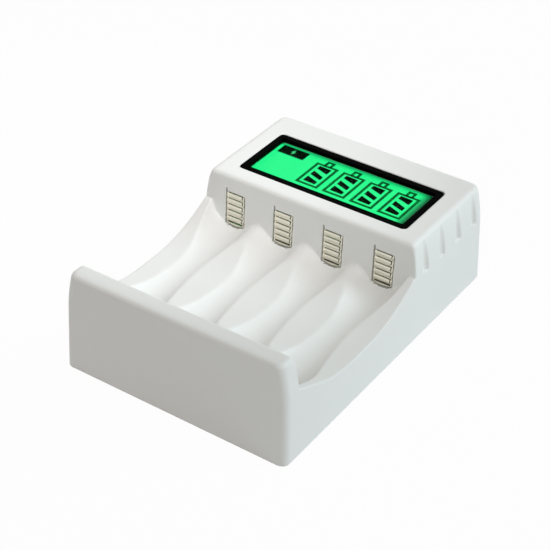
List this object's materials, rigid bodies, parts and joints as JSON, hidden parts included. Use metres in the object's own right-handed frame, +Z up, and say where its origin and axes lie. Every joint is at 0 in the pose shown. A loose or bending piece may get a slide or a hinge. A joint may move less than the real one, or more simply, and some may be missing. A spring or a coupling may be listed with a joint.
{
  "type": "aa battery charger",
  "caption": "White desktop charger with a scalloped open bay for round cells, slotted contacts in the head wall, sprung contacts in the front wall and a green lit display.",
  "frame": {"origin": "on the resting surface under the middle of the housing's width and length", "axes": "+Z up, -Y towards the low front wall, +Y towards the head with the display, +X to the right seen from the front"},
  "size_m": [0.07, 0.0976, 0.03],
  "materials": {
    "shell_white": "fine matt moulded texture",
    "cover_white": "fine matt moulded texture",
    "foot_rubber": "matt",
    "screw_steel": "zinc plated",
    "board_green": "solder mask",
    "frame_black": "semi gloss",
    "lens_clear": "clear",
    "display_green": "lit from behind",
    "guide_clear": "clear acrylic",
    "led_resin": "clear resin",
    "connector_grey": "matt",
    "pin_brass": "plated",
    "black_resin": "moulded",
    "ferrite": "sintered",
    "can_aluminium": "drawn",
    "socket_steel": "nickel plated",
    "contact_nickel": "warm nickel plate",
    "spring_steel": "nickel plate"
  },
  "bodies": {
    "charger": {"top_shell": "shell_white", "bottom_cover": "cover_white", "rubber_feet": "foot_rubber", "case_screws": "screw_steel", "main_board": "board_green", "board_screws": "screw_steel", "display_board": "board_green", "display_screws": "screw_steel", "display_frame": "frame_black", "display_lens": "lens_clear", "display_glass": "display_green", "light_guide": "guide_clear", "backlights": "led_resin", "edge_connectors": "connector_grey", "link_pins": "pin_brass", "link_strip": "black_resin", "controller_chip": "black_resin", "charge_transistors": "black_resin", "inductor": "ferrite", "capacitors": "can_aluminium", "power_socket": "socket_steel", "socket_tongue": "black_resin", "spring_cradles": "pin_brass", "positive_contact_1": "contact_nickel", "positive_contact_2": "contact_nickel", "positive_contact_3": "contact_nickel", "positive_contact_4": "contact_nickel"},
    "leaf_1": {"negative_spring_1": "spring_steel"},
    "leaf_2": {"negative_spring_2": "spring_steel"},
    "leaf_3": {"negative_spring_3": "spring_steel"},
    "leaf_4": {"negative_spring_4": "spring_steel"}
  },
  "joints": [
    {"name": "press_1", "type": "hinge", "parent": "charger", "child": "leaf_1", "pos_m": [-0.02415, -0.0441, 0.00782], "axis": [1, 0, 0], "range_deg": [0, 22], "stiffness_Nm_per_rad": 0.08},
    {"name": "press_2", "type": "hinge", "parent": "charger", "child": "leaf_2", "pos_m": [-0.00805, -0.0441, 0.00782], "axis": [1, 0, 0], "range_deg": [0, 22], "stiffness_Nm_per_rad": 0.08},
    {"name": "press_3", "type": "hinge", "parent": "charger", "child": "leaf_3", "pos_m": [0.00805, -0.0441, 0.00782], "axis": [1, 0, 0], "range_deg": [0, 22], "stiffness_Nm_per_rad": 0.08},
    {"name": "press_4", "type": "hinge", "parent": "charger", "child": "leaf_4", "pos_m": [0.02415, -0.0441, 0.00782], "axis": [1, 0, 0], "range_deg": [0, 22], "stiffness_Nm_per_rad": 0.08}
  ]
}
